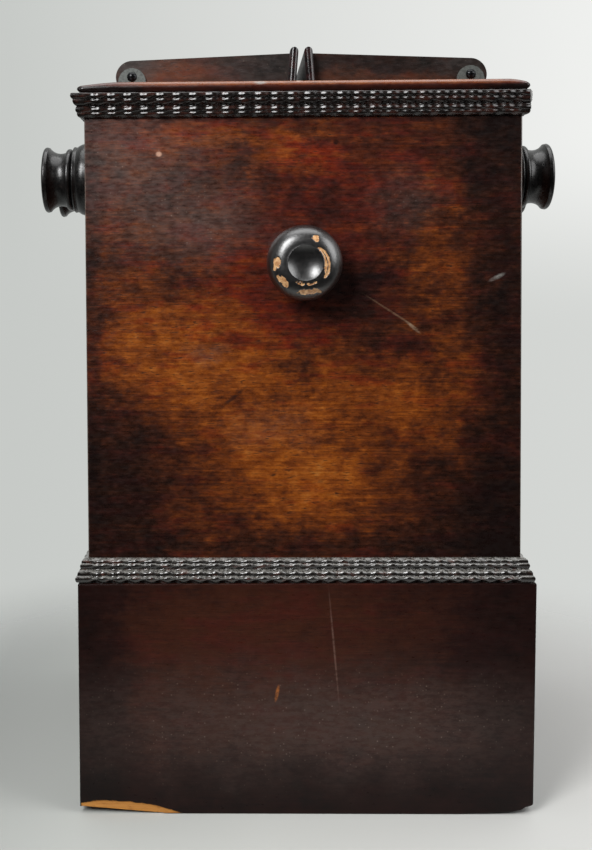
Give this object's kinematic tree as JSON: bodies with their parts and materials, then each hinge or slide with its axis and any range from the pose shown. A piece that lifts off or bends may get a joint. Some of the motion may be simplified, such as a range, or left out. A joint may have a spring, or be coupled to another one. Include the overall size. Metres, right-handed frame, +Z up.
{
  "type": "table stereoscope",
  "caption": "Table-top stereoscope: tall veneered cabinet with turned eyepieces in both ends, side knobs that turn a belt of stereo cards, and hinged light hoods on top.",
  "frame": {"origin": "centre of the plinth's underside, on the surface it stands on", "axes": "+Z up, +X towards the right pair of eyepieces with the knob panel facing the viewer, -Y out of the knob panel in front"},
  "size_m": [0.313, 0.278, 0.4312],
  "materials": {
    "mahogany_veneer": "french polished, dark red-brown",
    "plinth_veneer": "french polished, worn at the foot",
    "ebonised_moulding": "ebonised, glossy",
    "polished_mahogany": "polished",
    "black_lacquered_wood": "black lacquer, glossy, chipped",
    "plain_softwood": "planed, bare",
    "pivot_steel": "dulled",
    "blued_steel": "blued, glossy",
    "brass": "aged",
    "black_tube": "black, satin",
    "lens_glass": "clear, polished",
    "mirror_glass": "silvered",
    "tinned_sheet": "dull tinned sheet",
    "card_board": "matt, blank",
    "belt_tape": "woven cotton tape"
  },
  "bodies": {
    "cabinet": {"front_panel": "mahogany_veneer", "back_panel": "mahogany_veneer", "left_end_panel": "mahogany_veneer", "right_end_panel": "mahogany_veneer", "bottom_board": "plain_softwood", "corner_blocks": "plain_softwood", "plinth_front_board": "plinth_veneer", "plinth_right_board": "plinth_veneer", "plinth_back_board": "plinth_veneer", "plinth_left_board": "plinth_veneer", "plinth_ripple_front": "ebonised_moulding", "plinth_ripple_right": "ebonised_moulding", "plinth_ripple_back": "ebonised_moulding", "plinth_ripple_left": "ebonised_moulding", "top_ripple_front": "ebonised_moulding", "top_ripple_right": "ebonised_moulding", "top_ripple_back": "ebonised_moulding", "top_ripple_left": "ebonised_moulding", "top_board": "polished_mahogany", "axle_bushes": "brass", "left_pivot_plates": "pivot_steel", "right_pivot_plates": "pivot_steel", "plate_screws": "pivot_steel", "left_collars": "black_lacquered_wood", "right_collars": "black_lacquered_wood", "belt_tapes": "belt_tape", "card_holders": "tinned_sheet", "stereo_cards": "card_board"},
    "axle_assembly": {"axle": "pivot_steel", "roller": "plain_softwood", "front_knob": "black_lacquered_wood", "back_knob": "black_lacquered_wood", "knob_pins": "pivot_steel"},
    "left_hood": {"left_hood_front_side": "polished_mahogany", "left_hood_back_side": "polished_mahogany", "left_hood_top": "polished_mahogany", "left_hood_rail": "polished_mahogany", "left_hood_grip": "black_lacquered_wood", "left_mirror": "mirror_glass", "left_mirror_beads": "black_lacquered_wood", "left_pivot_screws": "blued_steel"},
    "left_focus": {"left_focus_board": "plain_softwood", "left_draw_tubes": "black_tube", "left_eyecups": "black_lacquered_wood", "left_lenses": "lens_glass", "left_lens_rings": "brass"},
    "right_hood": {"right_hood_front_side": "polished_mahogany", "right_hood_back_side": "polished_mahogany", "right_hood_top": "polished_mahogany", "right_hood_rail": "polished_mahogany", "right_hood_grip": "black_lacquered_wood", "right_mirror": "mirror_glass", "right_mirror_beads": "black_lacquered_wood", "right_pivot_screws": "blued_steel"},
    "right_focus": {"right_focus_board": "plain_softwood", "right_draw_tubes": "black_tube", "right_eyecups": "black_lacquered_wood", "right_lenses": "lens_glass", "right_lens_rings": "brass"}
  },
  "joints": [
    {"name": "axle_turn", "type": "hinge", "parent": "cabinet", "child": "axle_assembly", "pos_m": [0, 0, 0.31], "axis": [0, 1, 0], "continuous": true},
    {"name": "left_hood_open", "type": "hinge", "parent": "cabinet", "child": "left_hood", "pos_m": [-0.096, 0, 0.4163], "axis": [0, -1, 0], "range_deg": [0, 100]},
    {"name": "right_hood_open", "type": "hinge", "parent": "cabinet", "child": "right_hood", "pos_m": [0.096, 0, 0.4163], "axis": [0, 1, 0], "range_deg": [0, 100]},
    {"name": "left_focus_slide", "type": "slide", "parent": "cabinet", "child": "left_focus", "axis": [-1, 0, 0], "range_m": [0, 0.01]},
    {"name": "right_focus_slide", "type": "slide", "parent": "cabinet", "child": "right_focus", "axis": [1, 0, 0], "range_m": [0, 0.01]}
  ]
}
